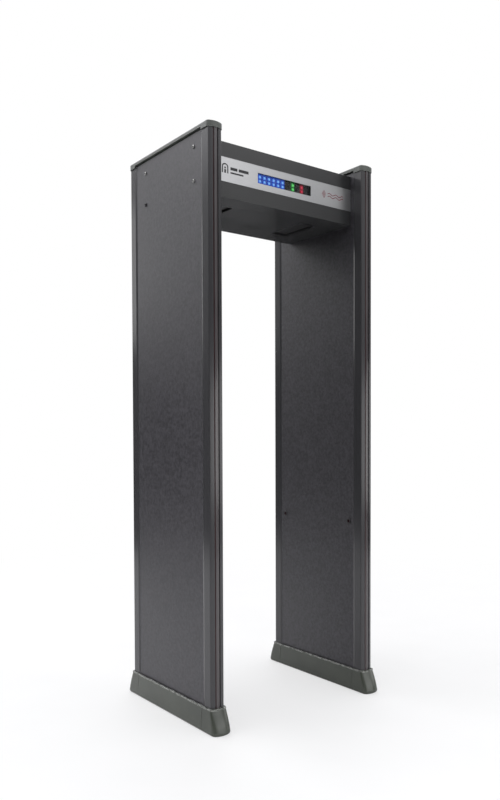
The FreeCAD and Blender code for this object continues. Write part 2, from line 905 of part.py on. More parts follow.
def control_board_piece():
    """Circuit board behind the tray, on four pillars, with its main components."""
    x0 = bay_left + board_margin
    x1 = bay_right - board_margin
    z0 = bay_low + board_margin
    z1 = bay_high - board_margin
    y0 = control_board_y
    pillar_height = bay_back - y0 - control_board
    parts = [box(x0, x1, y0, y0 + control_board, z0, z1)]
    for x in (x0 + pillar_inset, x1 - pillar_inset):
        for z in (z0 + pillar_inset, z1 - pillar_inset):
            parts.append(rod(pillar_radius, pillar_height, V(x, y0 + control_board, z), Y_AXIS))
    for x in chip_lefts:
        parts.append(box(x, x + chip_width, y0 - chip_height, y0, chip_bottom, chip_top))
    for x in can_places:
        parts.append(rod(can_radius, can_height, V(x, y0 - can_height, can_z), Y_AXIS))
    return joined(parts)


def power_supply():
    """Closed supply unit on the underside plate, with a terminal block."""
    z0 = header_bottom + sheet + joggle_sheet
    z1 = z0 + supply_height
    case = box(supply_left, supply_right, -supply_half_depth, supply_half_depth, z0, z1)
    case = case.makeFillet(supply_round, edges_at_height(case, z1))
    block = box(supply_right, supply_right + terminal_width, -terminal_half_depth,
                terminal_half_depth, z0 + terminal_rise, z0 + terminal_rise + terminal_height)
    return joined([case, block])


def alarm_sounder():
    """Round sounder on the underside plate."""
    z0 = header_bottom + sheet + joggle_sheet
    place = V(sounder_x, sounder_y, z0)
    base = rod(sounder_flange, sounder_flange_height, place, Z_AXIS)
    body = rod(sounder_radius, sounder_height, place, Z_AXIS)
    port_start = place + V(0, 0, sounder_height - sounder_port_depth)
    port = rod(sounder_port, sounder_port_depth, port_start, Z_AXIS)
    return joined([base, body]).cut(port)


def power_inlet():
    """Mains inlet: flange, cavity and three pins."""
    gap = fit_gap
    y_face = header_rear
    flange = box(power_x - inlet_half_w - inlet_flange, power_x + inlet_half_w + inlet_flange,
                 y_face, y_face + inlet_flange_sheet,
                 inlet_z - inlet_half_h - inlet_flange, inlet_z + inlet_half_h + inlet_flange)
    corners = [e for e in flange.Edges if e.BoundBox.YLength > inlet_flange_sheet - 0.01]
    flange = flange.makeFillet(inlet_corner_round, corners)
    body = box(power_x - inlet_half_w + gap, power_x + inlet_half_w - gap, y_face - inlet_depth, y_face,
               inlet_z - inlet_half_h + gap, inlet_z + inlet_half_h - gap)
    wall = inlet_wall + gap
    cavity = box(power_x - inlet_half_w + wall, power_x + inlet_half_w - wall, y_face - inlet_cavity,
                 y_face + inlet_flange_sheet, inlet_z - inlet_half_h + wall, inlet_z + inlet_half_h - wall)
    solid = joined([flange, body]).cut(cavity)
    pins = []
    for dx, dz in ((-inlet_pin_spread, -inlet_pin_drop), (0, inlet_pin_lift),
                   (inlet_pin_spread, -inlet_pin_drop)):
        x = power_x + dx
        z = inlet_z + dz
        pins.append(box(x - inlet_pin, x + inlet_pin, y_face - inlet_cavity - 1,
                        y_face - inlet_pin_setback, z - inlet_pin_height, z + inlet_pin_height))
    return joined([solid] + pins)


def switch_frame():
    """Frame of the rocker switch, open at the front."""
    gap = fit_gap
    y_face = header_rear
    flange = box(power_x - switch_half_w - switch_flange, power_x + switch_half_w + switch_flange,
                 y_face, y_face + switch_flange_sheet, switch_z - switch_half_h - switch_flange,
                 switch_z + switch_half_h + switch_flange)
    corners = [e for e in flange.Edges if e.BoundBox.YLength > switch_flange_sheet - 0.01]
    flange = flange.makeFillet(switch_corner_round, corners)
    body = box(power_x - switch_half_w + gap, power_x + switch_half_w - gap, y_face - switch_depth, y_face,
               switch_z - switch_half_h + gap, switch_z + switch_half_h - gap)
    wall = switch_wall
    well = box(power_x - switch_half_w + wall, power_x + switch_half_w - wall,
               y_face - switch_depth + switch_wall, y_face + switch_flange_sheet,
               switch_z - switch_half_h + wall, switch_z + switch_half_h - wall)
    return joined([flange, body]).cut(well)


def rocker_axis():
    return V(power_x, header_rear - rocker_pivot_drop, switch_z)


def power_rocker():
    """Rocker that tilts about a level axis. At rest it is tilted to off."""
    half_w = switch_half_w - switch_wall - rocker_gap
    reach = switch_half_h - switch_wall - rocker_gap
    centre = rocker_axis()
    core = rod(reach, 2 * half_w, V(power_x - half_w, centre.y, centre.z), X_AXIS)
    slope = math.tan(math.radians(rocker_tilt))
    front = centre.y + rocker_crown
    profile = [
        V(power_x - half_w, front - rocker_dip, centre.z),
        V(power_x - half_w, front + reach * slope, centre.z + reach + 1),
        V(power_x - half_w, centre.y - rocker_depth, centre.z + reach + 1),
        V(power_x - half_w, centre.y - rocker_depth, centre.z - reach - 1),
        V(power_x - half_w, front + reach * slope, centre.z - reach - 1),
    ]
    prism = Part.Face(Part.makePolygon(profile + profile[:1])).extrude(V(2 * half_w, 0, 0))
    solid = core.common(prism)
    solid.rotate(centre, X_AXIS, rocker_tilt)
    return solid


def hinge_axis_y():
    return header_rear + hinge_offset


def knuckle_spans():
    """Bottom and top of each knuckle, from the lowest up."""
    pitch = door_height / knuckles
    half_gap = knuckle_gap / 2
    return [(door_bottom + i * pitch + half_gap, door_bottom + (i + 1) * pitch - half_gap)
            for i in range(knuckles)]


def knuckle(low, high, bore):
    start = V(hinge_x, hinge_axis_y(), low)
    barrel = rod(knuckle_radius, high - low, start, Z_AXIS)
    return barrel, rod(bore, high - low + 2, start - V(0, 0, 1), Z_AXIS)


def hinge_fixed_leaf():
    """Leaf on the rear shell, with knuckles one, three and five."""
    clear_x = hinge_x - knuckle_radius - 0.5
    leaf = box(clear_x - leaf_width, clear_x, header_rear, header_rear + leaf_sheet,
               door_bottom, door_bottom + door_height)
    parts = [leaf]
    bores = []
    for low, high in knuckle_spans()[::2]:
        barrel, bore = knuckle(low, high, leaf_bore)
        parts += [barrel, box(clear_x - 1, hinge_x, header_rear, header_rear + leaf_sheet, low, high)]
        bores.append(bore)
    return cut_all(joined(parts), bores)


def hinge_pin():
    """Pin with a head at each end."""
    low = door_bottom
    high = door_bottom + door_height
    y = hinge_axis_y()
    shaft = rod(pin_radius, high - low, V(hinge_x, y, low), Z_AXIS)
    foot_head = rod(pin_head, pin_head_height, V(hinge_x, y, low - pin_head_height), Z_AXIS)
    top_head = rod(pin_head, pin_head_height, V(hinge_x, y, high), Z_AXIS)
    return joined([shaft, foot_head, top_head])


def service_door():
    """Door plate with an outward lip, hinge knuckles two and four, and the lock's hole."""
    y0 = header_rear + door_gap
    y1 = y0 + door_sheet
    top = door_bottom + door_height
    plate = box(door_left, door_right, y0, y1, door_bottom, top)
    free_corners = [e for e in plate.Edges if e.BoundBox.YLength > door_sheet - 0.01
                    and e.BoundBox.XMin > door_right - 1]
    plate = plate.makeFillet(door_round, free_corners)
    lip = box(door_right - 2, door_right, y0, y1 + door_lip, door_bottom + 50, top - 50)
    parts = [plate, lip]
    bores = []
    for low, high in knuckle_spans()[1::2]:
        barrel, bore = knuckle(low, high, door_bore)
        parts += [barrel, box(hinge_x, door_left + 1, y0, y1, low, high)]
        bores.append(bore)
    solid = cut_all(joined(parts), bores)
    hole = rod(lock_radius + lock_gap, door_sheet + 2, V(lock_x, y0 - 1, lock_z), Y_AXIS)
    return solid.cut(hole)


def lock_cylinder():
    """Lock barrel with a front flange and a key slot."""
    front = header_rear + door_gap + door_sheet + lock_gap
    flange = rod(lock_flange, lock_flange_height, V(lock_x, front, lock_z), Y_AXIS)
    rim = [e for e in flange.Edges if abs(e.BoundBox.YMin - front - lock_flange_height) < 1e-4]
    flange = flange.makeFillet(0.9, rim)
    barrel = rod(lock_radius, lock_reach, V(lock_x, front, lock_z), -Y_AXIS)
    slot = box(lock_x - key_slot_width / 2, lock_x + key_slot_width / 2,
               front + lock_flange_height - key_slot_depth, front + lock_flange_height + 1,
               lock_z - key_slot / 2, lock_z + key_slot / 2)
    return joined([flange, barrel]).cut(slot)


def lock_cam():
    """Cam on the barrel's inner end. At rest it points down, which is unlocked."""
    y1 = header_rear + door_gap + door_sheet + lock_gap - lock_reach
    disc = rod(cam_half + 3, cam_sheet, V(lock_x, y1 - cam_sheet, lock_z), Y_AXIS)
    arm = box(lock_x - cam_half, lock_x + cam_half, y1 - cam_sheet, y1, lock_z - cam_reach, lock_z)
    return joined([disc, arm])


def panel_pieces():
    """Everything that makes up the two upright panels."""
    save_pair("foot", at_left(foot()))
    save_pair("cap", at_left(cap()))
    post = front_post()
    save_pair("front_post", at_left(post))
    save_pair("rear_post", at_left(turned_to_rear(post)))
    lens = front_lens()
    save_pair("zone_lenses", at_left(Part.makeCompound([lens, turned_to_rear(lens)])))
    strip = front_led_strip()
    save_pair("led_strips", at_left(Part.makeCompound([strip, turned_to_rear(strip)])))
    save_pair("outer_board", outer_board())
    save_pair("inner_board", inner_board())
    save_pair("coil_frame", coil_frame())
    save("left_transmit_coil", transmit_coil())
    save("right_receive_coils", receive_coils())
    save_pair("photocell_housings", photocell_housings())
    save_pair("photocell_lenses", photocell_lenses())
    save_pair("cable_connector", cable_connector())
    header_bolts()


def header_pieces():
    """Header box, display and the parts inside it."""
    save("header_front_shell", header_front_shell())
    save("header_rear_shell", header_rear_shell())
    save("header_top_plate", header_plate(header_top, -1))
    save("header_bottom_plate", header_bottom_plate())
    save("hatch_covers", Part.makeCompound([hatch_cover(x) for x in hatch_left_edges]))
    save_pair("end_bracket", end_bracket())
    save("fascia_strip", fascia_strip())
    save("display_window", display_window())
    display_pieces()
    save("control_board", control_board_piece())
    save("power_supply", power_supply())
    save("alarm_sounder", alarm_sounder())


def service_pieces():
    """Door, lock, keys, inlet and switch on the rear of the header."""
    save("control_bay_tray", control_bay_tray())
    for index, name in enumerate(key_names):
        save(name, key(index))
    save("power_inlet", power_inlet())
    save("switch_frame", switch_frame())
    save("power_rocker", power_rocker())
    save("hinge_fixed_leaf", hinge_fixed_leaf())
    save("hinge_pin", hinge_pin())
    save("service_door", service_door())
    save("lock_cylinder", lock_cylinder())
    save("lock_cam", lock_cam())


os.makedirs("parts", exist_ok=True)
panel_pieces()
header_pieces()
service_pieces()
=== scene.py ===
"""Looks of the walk-through security gate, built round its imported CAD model. Lengths are in metres."""

import json
import math

import bmesh
import bpy
from mathutils import Matrix, Vector
from mathutils.bvhtree import BVHTree


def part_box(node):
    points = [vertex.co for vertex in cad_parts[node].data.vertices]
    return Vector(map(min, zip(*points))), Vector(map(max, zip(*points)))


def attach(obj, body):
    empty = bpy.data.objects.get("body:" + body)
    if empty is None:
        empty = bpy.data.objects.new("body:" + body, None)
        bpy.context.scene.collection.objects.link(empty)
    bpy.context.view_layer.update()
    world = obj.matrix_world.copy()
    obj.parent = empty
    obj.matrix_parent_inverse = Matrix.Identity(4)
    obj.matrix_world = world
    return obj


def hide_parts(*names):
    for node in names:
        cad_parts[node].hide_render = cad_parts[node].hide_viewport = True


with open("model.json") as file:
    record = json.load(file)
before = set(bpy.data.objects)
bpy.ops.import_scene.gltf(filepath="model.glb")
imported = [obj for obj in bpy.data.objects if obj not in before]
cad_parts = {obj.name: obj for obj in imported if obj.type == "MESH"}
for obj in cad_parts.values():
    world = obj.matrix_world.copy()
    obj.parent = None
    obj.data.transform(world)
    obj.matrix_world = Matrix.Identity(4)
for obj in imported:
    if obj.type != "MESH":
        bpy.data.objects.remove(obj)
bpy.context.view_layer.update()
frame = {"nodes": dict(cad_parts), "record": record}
nodes = frame["nodes"]

MM = 0.001
GATE = "gate_frame"

# Light of the room at each elevation in degrees, its brightest direction, its share on the far side,
# and how much bluer than red it is.
ROOM_LIGHT = ((-90.0, 0.35), (-25.0, 0.12), (-12.0, 0.05), (-4.0, 0.05), (6.0, 0.08), (17.0, 0.25),
              (26.0, 3.0), (38.0, 3.0), (52.0, 0.6), (90.0, 0.5))
BRIGHT_SIDE = (-0.49, 0.87, 0.0)
DIM_SIDE_SHARE = 0.5
COOL_CAST = 1.03
FLOOR_RADIUS = 4.6
FLOOR_FADE_START = 1.0
FLOOR_FADE_END = FLOOR_RADIUS - 0.4
FLOOR_GLOW = 0.55

# Camera as fitted to the gate's edges. Angles are in degrees, the lens and its sensor in millimetres.
CAMERA_PLACE = (-1.92402, -2.67538, 1.08754)
CAMERA_YAW = -38.042
CAMERA_PITCH = -1.577
CAMERA_ROLL = -0.123185925
SENSOR_WIDTH = 36.0
LENS = 34.80273
LENS_SHIFT = (-0.04237125, 0.07376625)
CLIP_END = 60.0

# Heights between which a foot's rim starts to carry light dashes, partly scuffing and partly a painted
# highlight.
RIM_LOW = 0.086
RIM_HIGH = 0.090

# Display: domes over the lights, and thin films between them that glow near a light.
DOME_DEPTH_SHARE = 0.25
DOME_CURVE = 2.5
DOME_CORNER = 0.28
DOME_RINGS = 7
DOME_SIDES = 32
CELL_GLOW_FALL = 2.2
FILM_THICKNESS = 0.0006
FILM_BACK_GAP = 0.00005
FILM_COLUMNS = 64
FILM_ROWS = 24
FILM_GLOW_REACH = 0.011
FILM_MARGIN = 3 * MM
FILM_GAP = 0.1 * MM
BLUE_BORDER = 11.2 * MM
COLUMN_HALF = 9.5 * MM

INK_THICKNESS = 0.00012
RAY_START = 2.0

# Outline of a screw's head, then of its hexagon socket: distance from the axis, and height, over the
# head's radius.
HEAD_OUTLINE = ((1.0, 0.0), (1.0, 0.18), (0.93, 0.34), (0.80, 0.46), (0.62, 0.54))
SOCKET_OUTLINE = ((0.52, 0.56), (0.48, 0.53), (0.47, 0.14))
HEAD_SIDES = 36
LEAF_SCREW_RADIUS = 3.2 * MM
LEAF_SCREW_SHARES = (0.1, 0.37, 0.63, 0.9)
LEAF_SCREW_INSET = 8 * MM
LEAF_THICKNESS = 1.4 * MM
INLET_SCREW_RADIUS = 1.9 * MM
INLET_SCREW_INSET = 2.6 * MM


# ---------------------------------------------------------------- shader nodes

class Finish:
    """One material and short ways to add shader nodes to it."""

    def __init__(self, name):
        self.material = bpy.data.materials.new(name)
        self.material.use_nodes = True
        self.tree = self.material.node_tree
        self.shader = self.tree.nodes["Principled BSDF"]
        self.place = self.add("ShaderNodeTexCoord").outputs["Object"]

    def add(self, kind, **inputs):
        """New node. Names in capitals are its own settings, and the others are its inputs."""
        node = self.tree.nodes.new(kind)
        for name, value in inputs.items():
            if name.isupper():
                setattr(node, name.lower(), value)
            else:
                self.put(node, name, value)
        return node

    def put(self, node, name, value):
        """Sets an input, or links it when value is another node's output."""
        key = int(name[1:]) if name.startswith("_") else name.replace("_", " ")
        socket = node.inputs[key]
        if isinstance(value, bpy.types.NodeSocket):
            self.tree.links.new(value, socket)
        else:
            socket.default_value = value

    def surface(self, **inputs):
        for name, value in inputs.items():
            self.put(self.shader, name, value)

    def stretched(self, x, y, z):
        """Object coordinates scaled along each axis."""
        return self.add("ShaderNodeMapping", Vector=self.place, Scale=(x, y, z)).outputs["Vector"]

    def noise(self, scale, detail=3.0, rough=0.5, where=None):
        node = self.add("ShaderNodeTexNoise", Vector=where or self.place, Scale=scale, Detail=detail,
                        Roughness=rough)
        return node.outputs["Fac"]

    def cells(self, scale):
        node = self.add("ShaderNodeTexVoronoi", FEATURE="SMOOTH_F1", Vector=self.place, Scale=scale)
        return node.outputs["Distance"]

    def spread(self, value, low=0.0, high=1.0, start=0.3, stop=0.7):
        """Value from start to stop becomes low to high."""
        node = self.add("ShaderNodeMapRange", Value=value, From_Min=start, From_Max=stop, To_Min=low,
                        To_Max=high)
        return node.outputs["Result"]

    def tint(self, factor, first, second):
        """Colour that goes from first to second with the factor."""
        node = self.add("ShaderNodeMix", DATA_TYPE="RGBA", Factor=factor, _6=colour(first),
                        _7=colour(second))
        return node.outputs[2]

    def blend(self, factor, first, second):
        """The same for two colours that are outputs already."""
        node = self.add("ShaderNodeMix", DATA_TYPE="RGBA", Factor=factor, _6=first, _7=second)
        return node.outputs[2]

    def math(self, operation, first, second=0.0):
        return self.add("ShaderNodeMath", OPERATION=operation, _0=first, _1=second).outputs[0]

    def edges(self, radius, start, stop):
        """1 on edges sharper than the radius, and 0 on flat stretches."""
        rounded = self.add("ShaderNodeBevel", SAMPLES=4, Radius=radius).outputs["Normal"]
        flat = self.add("ShaderNodeNewGeometry").outputs["Normal"]
        likeness = self.add("ShaderNodeVectorMath", OPERATION="DOT_PRODUCT", _0=rounded,
                            _1=flat).outputs["Value"]
        return self.spread(likeness, low=1.0, high=0.0, start=start, stop=stop)

    def bump(self, height, strength, distance, below=None):
        inputs = {"Height": height, "Strength": strength, "Distance": distance}
        if below is not None:
            inputs["Normal"] = below
        return self.add("ShaderNodeBump", **inputs).outputs["Normal"]


def colour(value):
    return (*value, 1.0) if len(value) == 3 else value


def grey(level, warm=0.0):
    """Grey with a slightly warm or cool cast."""
    return (level * (1 + warm), level, level * (1 - warm))


# ---------------------------------------------------------------- materials

def pebbled_board():
    """Dark laminate with a fine pebble texture."""
    f = Finish("board_laminate")
    pebble = f.cells(420.0)
    fine = f.noise(1400.0, detail=2.0)
    mottle = f.noise(34.0, detail=5.0, rough=0.62)
    drift = f.noise(2.2, detail=2.0)
    grain = f.noise(95.0, detail=3.0, rough=0.65)
    body = f.tint(f.spread(grain, start=0.36, stop=0.64), (0.012, 0.0112, 0.0133),
                  (0.056, 0.0535, 0.0610))
    pits = f.tint(f.spread(pebble, start=0.1, stop=0.75), (0.043, 0.041, 0.047), (0.023, 0.022, 0.026))
    roughness = f.math("ADD", f.spread(drift, low=0.40, high=0.44), f.spread(grain, low=-0.05, high=0.06))
    relief = f.bump(pebble, strength=0.12, distance=0.0003)
    relief = f.bump(fine, strength=0.05, distance=0.0001, below=relief)
    relief = f.bump(grain, strength=0.30, distance=0.0006, below=relief)
    f.surface(Base_Color=f.blend(f.spread(mottle, low=0.2, high=0.5), body, pits), Roughness=roughness,
              Normal=relief)
    return f.material


def satin_extrusion():
    """Powder-coated aluminium extrusion with faint draw lines along its length."""
    f = Finish("post_coating")
    draw = f.noise(1.0, detail=3.0, rough=0.6, where=f.stretched(900.0, 900.0, 1.3))
    powder = f.noise(1100.0, detail=2.0)
    drift = f.noise(3.0, detail=3.0)
    wear = f.edges(0.0016, start=0.90, stop=0.995)
    body = f.tint(f.spread(draw), (0.034, 0.0335, 0.036), (0.043, 0.0425, 0.045))
    base = f.blend(wear, body, colour((0.090, 0.090, 0.092)))
    roughness = f.math("ADD", f.spread(drift, low=0.17, high=0.22), f.spread(draw, low=-0.03, high=0.03))
    relief = f.bump(powder, strength=0.10, distance=0.0001)
    relief = f.bump(draw, strength=0.08, distance=0.0001, below=relief)
    f.surface(Base_Color=base, Roughness=roughness, Specular_IOR_Level=0.4, Normal=relief)
    return f.material


def moulded(name, dark, light, rough_low, rough_high, grain=900.0, edge=(0.24, 0.25, 0.235)):
    """Satin moulded plastic with a spark-eroded grain, flow marks and scuffed edges."""
    f = Finish(name)
    spark = f.noise(grain, detail=3.0, rough=0.7)
    flow = f.noise(9.0, detail=4.0, rough=0.55)
    scuff_and_highlight = f.noise(60.0, detail=5.0, rough=0.7)
    wear = f.math("MULTIPLY", f.edges(0.003, start=0.80, stop=0.98),
                  f.spread(scuff_and_highlight, low=0.2, high=1.0, start=0.4, stop=0.6))
    body = f.tint(f.spread(flow), dark, light)
    f.surface(Base_Color=f.blend(wear, body, colour(edge)),
              Roughness=f.math("ADD", f.spread(flow, rough_low, rough_high),
                               f.spread(spark, low=-0.05, high=0.05)),
              Normal=f.bump(spark, strength=0.16, distance=0.00015))
    return f.material


def foot_moulding():
    """Grey-green moulded foot, smooth at the ends, with light dashes along the rim over the boards that are
    partly scuffing and partly a painted highlight.
    """
    f = Finish("foot_plastic_satin")
    spark = f.noise(800.0, detail=3.0, rough=0.7)
    flow = f.noise(7.0, detail=4.0, rough=0.55)
    dash_noise = f.noise(75.0, detail=6.0, rough=0.75, where=f.stretched(1.0, 0.6, 1.0))
    height = f.add("ShaderNodeSeparateXYZ", Vector=f.place).outputs["Z"]
    rim = f.math("MULTIPLY", f.edges(0.005, start=0.90, stop=0.995),
                 f.spread(height, start=RIM_LOW, stop=RIM_HIGH))
    # Painted highlight and scuffing: light dashes along the rim's top edge, partly real scuffs and partly a
    # painted highlight of the rounded lip.
    scuff_and_highlight = f.math("MULTIPLY", rim, f.spread(dash_noise, start=0.43, stop=0.55))
    wear = f.math("MULTIPLY", f.edges(0.002, start=0.90, stop=0.995), 0.25)
    body = f.tint(f.spread(flow), (0.038, 0.043, 0.034), (0.051, 0.057, 0.045))
    body = f.blend(wear, body, colour((0.11, 0.12, 0.10)))
    f.surface(Base_Color=f.blend(scuff_and_highlight, body, colour((0.55, 0.56, 0.53))),
              Roughness=f.math("ADD", f.spread(flow, low=0.19, high=0.25),
                               f.spread(spark, low=-0.03, high=0.03)),
              Normal=f.bump(spark, strength=0.08, distance=0.0001))
    return f.material


def enamel(name, level, rough_low, rough_high, peel=0.12):
    """Sheet metal paint with orange peel and lighter worn edges."""
    f = Finish(name)
    peel_height = f.noise(170.0, detail=2.0)
    speck = f.noise(1500.0, detail=1.0)
    drift = f.noise(4.0, detail=4.0)
    wear = f.edges(0.0012, start=0.90, stop=0.995)
    body = f.tint(f.spread(drift), grey(level * 0.92, -0.02), grey(level * 1.08, -0.02))
    base = f.blend(wear, body, colour(grey(level * 1.8)))
    relief = f.bump(peel_height, peel, distance=0.0002)
    relief = f.bump(speck, strength=0.05, distance=0.00005, below=relief)
    f.surface(Base_Color=base, Roughness=f.spread(drift, rough_low, rough_high), Normal=relief)
    return f.material


def brushed(name, dark, light, rough_low, rough_high, grain, metal=1.0):
    """Brushed metal. grain gives the scale along each axis, and is low along the brushing."""
    f = Finish(name)
    lines = f.noise(1.0, detail=4.0, rough=0.65, where=f.stretched(*grain))
    cloud = f.noise(14.0, detail=3.0)
    body = f.tint(f.spread(lines), dark, light)
    f.surface(Base_Color=body, Metallic=metal,
              Roughness=f.math("ADD", f.spread(lines, rough_low, rough_high),
                               f.spread(cloud, low=-0.03, high=0.03)),
              Normal=f.bump(lines, strength=0.1, distance=0.00005))
    return f.material


def polished(name, dark, light, roughness):
    """Turned bright metal with fine handling marks."""
    f = Finish(name)
    marks = f.noise(320.0, detail=5.0, rough=0.7)
    f.surface(Base_Color=f.tint(f.spread(marks), dark, light), Metallic=1.0,
              Roughness=f.spread(marks, roughness, high=roughness + 0.12),
              Normal=f.bump(marks, strength=0.05, distance=0.00005))
    return f.material


def smoked_lens():
    """Dark red ribbed light cover, painted grey on its crown as a painted reflection, so that only its
    flanks show the red.
    """
    f = Finish("zone_lens_red")
    ribs = f.add("ShaderNodeTexWave", WAVE_TYPE="BANDS", BANDS_DIRECTION="Z", Vector=f.place,
                 Scale=120.0).outputs["Fac"]
    drift = f.noise(5.0, detail=3.0)
    # Painted reflection: the forward-facing crown gets a grey colour in place of the red, and the red shows
    # only where the surface turns to the sides.
    crown = f.tint(f.spread(drift), (0.043, 0.037, 0.039), (0.054, 0.047, 0.049))
    flank = f.tint(f.spread(drift), (0.040, 0.006, 0.008), (0.060, 0.009, 0.011))
    normal = f.add("ShaderNodeNewGeometry").outputs["Normal"]
    sides = f.add("ShaderNodeSeparateXYZ", Vector=normal).outputs["X"]
    lean = f.spread(f.math("ABSOLUTE", sides), start=0.80, stop=0.95)
    f.surface(Base_Color=f.blend(lean, crown, flank), Roughness=f.spread(drift, low=0.16, high=0.24),
              Coat_Weight=0.3, Coat_Roughness=0.08,
              Normal=f.bump(ribs, strength=0.08, distance=0.0002))
    return f.material


def dark_gloss(name, level, roughness, tint=(1.0, 1.0, 1.0)):
    """Glossy dark plastic with a faint haze."""
    f = Finish(name)
    haze = f.noise(90.0, detail=4.0)
    low = tuple(level * 0.8 * t for t in tint)
    high = tuple(level * 1.25 * t for t in tint)
    f.surface(Base_Color=f.tint(f.spread(haze), low, high),
              Roughness=f.spread(haze, roughness, high=roughness + 0.08),
              Normal=f.bump(haze, strength=0.03, distance=0.0001))
    return f.material


def window_pane():
    """Smoked pane with a faint haze of handling."""
    f = Finish("window_smoked")
    haze = f.noise(120.0, detail=4.0)
    f.surface(Base_Color=f.tint(f.spread(haze), (0.012, 0.012, 0.014), (0.020, 0.020, 0.023)),
              Roughness=f.spread(haze, low=0.05, high=0.12), IOR=1.49, Alpha=0.26,
              Normal=f.bump(haze, strength=0.02, distance=0.0001))
    return f.material


def lit_cell(name, core, rim, strength):
    """Light diffuser, brightest where the glow attribute is 1, and dimmest where it is 0."""
    f = Finish(name)
    glow = f.add("ShaderNodeAttribute", ATTRIBUTE_NAME="glow").outputs["Fac"]
    speck = f.noise(700.0, detail=2.0)
    level = f.math("MULTIPLY", glow, f.spread(speck, low=0.92, high=1.05))
    light = f.tint(level, rim, core)
    f.surface(Base_Color=f.tint(level, tuple(0.3 * c for c in rim), tuple(0.5 * c for c in core)),
              Roughness=f.spread(speck, low=0.35, high=0.5), Emission_Color=light,
              Emission_Strength=strength)
    return f.material


def fascia_foil():
    """Brushed silver foil along X, with painted shade that darkens it towards the end over the display's
    far side, next to the dark right post.
    """
    f = Finish("fascia_brushed")
    lines = f.noise(1.0, detail=4.0, rough=0.65, where=f.stretched(25.0, 900.0, 1500.0))
    cloud = f.noise(14.0, detail=3.0)
    along = f.add("ShaderNodeSeparateXYZ", Vector=f.place).outputs["X"]
    # Painted shade: the foil's colour darkens along X towards the right end, standing in for the dark
    # reflection of the right post.
    painted_shade_right = f.spread(along, low=0.0, high=0.95, start=-0.28, stop=0.12)
    unshaded_foil = f.tint(f.spread(lines), (0.46, 0.463, 0.468), (0.58, 0.583, 0.588))
    painted_shade_foil = f.tint(f.spread(lines), (0.34, 0.342, 0.346), (0.42, 0.423, 0.428))
    f.surface(Base_Color=f.blend(painted_shade_right, unshaded_foil, painted_shade_foil), Metallic=0.85,
              Roughness=f.math("ADD", f.spread(lines, low=0.30, high=0.40),
                               f.spread(cloud, low=-0.03, high=0.03)),
              Normal=f.bump(lines, strength=0.12, distance=0.00005))
    return f.material


def board_mask(name, base, trace):
    """Printed circuit board: solder mask over tracks."""
    f = Finish(name)
    upright = f.add("ShaderNodeMapping", Vector=f.place,
                    Rotation=(math.radians(90), 0.0, 0.0)).outputs["Vector"]
    grid = f.add("ShaderNodeTexBrick", Vector=upright, Scale=90.0, Mortar_Size=0.03).outputs["Fac"]
    cloud = f.noise(60.0, detail=3.0)
    body = f.tint(f.spread(cloud), tuple(c * 0.8 for c in base), tuple(c * 1.2 for c in base))
    f.surface(Base_Color=f.blend(grid, body, colour(trace)),
              Roughness=f.spread(cloud, low=0.3, high=0.45),
              Normal=f.bump(grid, strength=0.2, distance=0.0001))
    return f.material


def timber(name):
    """Plain pine with its grain along Z."""
    f = Finish(name)
    rings = f.add("ShaderNodeTexWave", WAVE_TYPE="RINGS", Vector=f.stretched(60.0, 60.0, 2.0), Scale=1.0,
                  Distortion=6.0, Detail=3.0).outputs["Fac"]
    pores = f.noise(1.0, detail=4.0, rough=0.7, where=f.stretched(1400.0, 1400.0, 30.0))
    body = f.tint(rings, (0.52, 0.35, 0.19), (0.36, 0.22, 0.11))
    f.surface(Base_Color=body, Roughness=f.spread(pores, low=0.55, high=0.75),
              Normal=f.bump(pores, strength=0.2, distance=0.0003))
    return f.material


def winding(name):
    """Enamelled copper wire laid side by side."""
    f = Finish(name)
    wires = f.add("ShaderNodeTexWave", WAVE_TYPE="BANDS", BANDS_DIRECTION="X", Vector=f.place,
                  Scale=400.0).outputs["Fac"]
    stain = f.noise(40.0, detail=3.0)
    f.surface(Base_Color=f.tint(f.spread(stain), (0.45, 0.17, 0.06), (0.62, 0.27, 0.11)), Metallic=0.8,
              Roughness=f.spread(stain, low=0.25, high=0.4),
              Normal=f.bump(wires, strength=0.5, distance=0.0004))
    return f.material


def printed(name, ink):
    """Screen-printed ink, slightly uneven."""
    f = Finish(name)
    dots = f.noise(2500.0, detail=2.0)
    f.surface(Base_Color=f.tint(f.spread(dots), ink, tuple(min(1.0, c * 1.25 + 0.004) for c in ink)),
              Roughness=f.spread(dots, low=0.45, high=0.6),
              Normal=f.bump(dots, strength=0.05, distance=0.00003))
    return f.material


